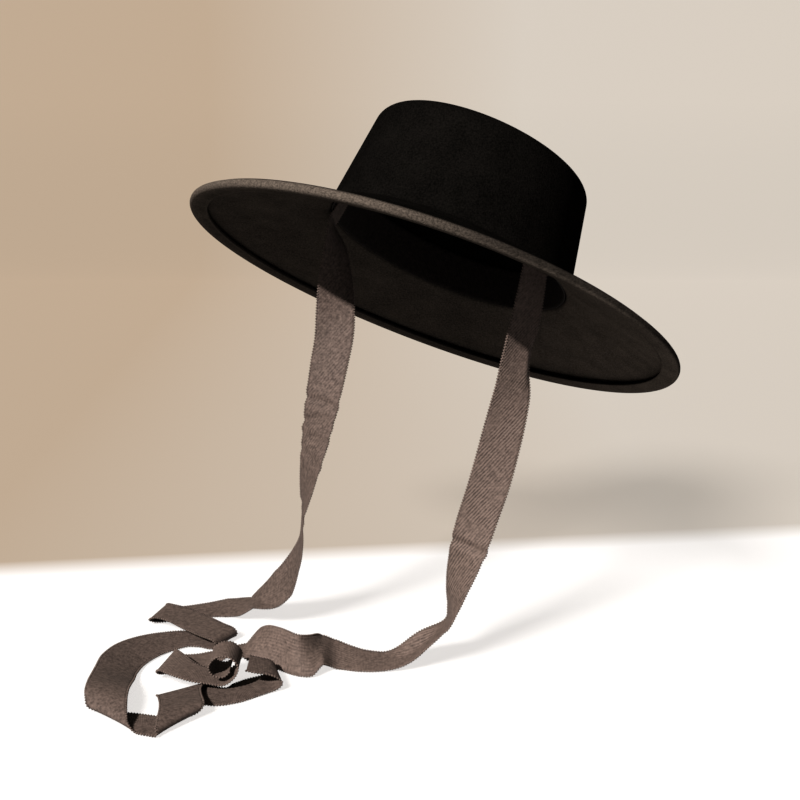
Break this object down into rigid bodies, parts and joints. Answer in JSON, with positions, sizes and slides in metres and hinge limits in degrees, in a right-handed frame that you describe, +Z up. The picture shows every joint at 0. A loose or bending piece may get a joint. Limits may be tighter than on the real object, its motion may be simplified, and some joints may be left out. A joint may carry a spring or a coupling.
{
  "type": "flat-crowned wide-brimmed felt hat with ribbon ties",
  "caption": "Black felt hat with a flat round crown, a wide drooping brim hemmed at the rim, a sweatband and long ribbon ties that hang and lie in folds.",
  "frame": {"origin": "middle of the head opening, at the crown's root, where the hat sits on a head", "axes": "+Z is up as the hat is worn, and the surface that the ties lie on is level at z = -0.262; +Y is away from the viewer of the pictured side and +X is that viewer's right. The hat's own axis leans back and to the wearer's left of +Z, and its front is turned from -Y towards -X"},
  "size_m": [0.3849, 0.3657, 0.369],
  "materials": {
    "felt": "black wool felt with a short nap",
    "sweatband": "black ribbed ribbon",
    "left_tie": "soft black-brown ribbed ribbon",
    "right_tie": "soft black-brown ribbed ribbon"
  },
  "bodies": {
    "root": {"felt_crown_and_brim": "felt", "sweatband": "sweatband", "left_tie": "left_tie", "right_tie": "right_tie"}
  },
  "joints": []
}
